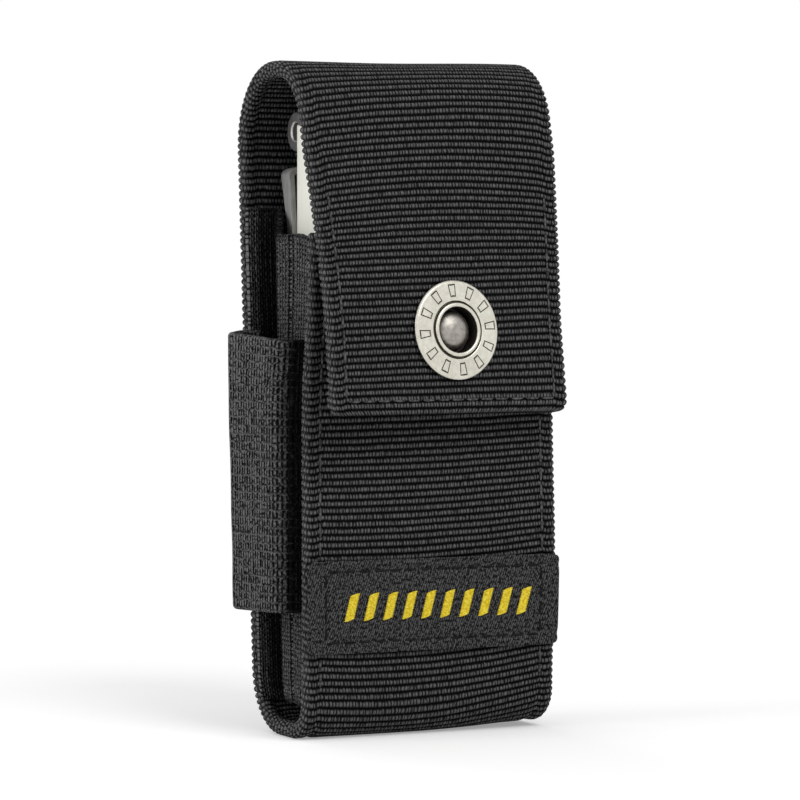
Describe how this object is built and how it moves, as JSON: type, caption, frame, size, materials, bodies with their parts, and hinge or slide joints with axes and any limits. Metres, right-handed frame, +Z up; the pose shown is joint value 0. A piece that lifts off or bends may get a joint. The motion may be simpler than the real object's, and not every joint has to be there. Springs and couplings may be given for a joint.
{
  "type": "sheathed multi tool",
  "caption": "Folded steel multi tool in a black ribbed-webbing belt sheath with a snapped flap, elastic side loop, sewn label and belt loop.",
  "frame": {"origin": "middle of the flat base, on its underside", "axes": "+X to the right seen from the front, +Y from the front to the back, +Z up along the sheath"},
  "size_m": [0.0583, 0.0476, 0.1224],
  "materials": {
    "black_nylon": "ribbed nylon webbing",
    "black_elastic": "ribbed elastic",
    "label_satin": "woven satin",
    "satin_nickel": "satin nickel plate",
    "bright_steel": "polished",
    "tool_steel": "satin",
    "spring_steel": "matt"
  },
  "bodies": {
    "sheath": {"main_strap": "black_nylon", "left_gusset": "black_nylon", "right_gusset": "black_nylon", "elastic_loop": "black_elastic", "front_label": "label_satin", "belt_loop": "black_nylon", "snap_stud": "satin_nickel", "snap_post": "satin_nickel"},
    "flap_top": {"flap_top_strap": "black_nylon"},
    "flap_front": {"flap_front_strap": "black_nylon", "snap_cap": "satin_nickel", "snap_rivet": "satin_nickel", "snap_socket": "satin_nickel", "snap_spring": "spring_steel"},
    "tool": {"handle_left": "bright_steel", "handle_right": "bright_steel", "jaw_left": "tool_steel", "jaw_right": "tool_steel", "jaw_pivot": "tool_steel", "handle_pivot_left": "tool_steel", "handle_pivot_right": "tool_steel", "blade_pivot_left": "tool_steel", "blade_pivot_right": "tool_steel", "back_spring_left": "spring_steel", "back_spring_right": "spring_steel", "knife_blade": "tool_steel", "saw_blade": "tool_steel", "bottle_opener": "tool_steel", "large_screwdriver": "tool_steel", "serrated_blade": "tool_steel", "wood_file": "tool_steel", "phillips_driver": "tool_steel", "small_screwdriver": "tool_steel", "pocket_clip": "spring_steel", "clip_screw_lower": "tool_steel", "clip_screw_upper": "tool_steel"}
  },
  "joints": [
    {"name": "tool_lift", "type": "slide", "parent": "sheath", "child": "tool", "axis": [0, 0, 1], "range_m": [0, 0.03]},
    {"name": "flap_back_fold", "type": "hinge", "parent": "sheath", "child": "flap_top", "pos_m": [0, 0.019, 0.10415], "axis": [-1, 0, 0], "range_deg": [0, 170]},
    {"name": "flap_front_fold", "type": "hinge", "parent": "flap_top", "child": "flap_front", "pos_m": [0, -0.0123, 0.10535], "axis": [-1, 0, 0], "range_deg": [0, 165]}
  ],
  "couplings": [
    {"joint": "flap_back_fold", "follows": "tool_lift", "rad_per_m": 98.9}
  ]
}
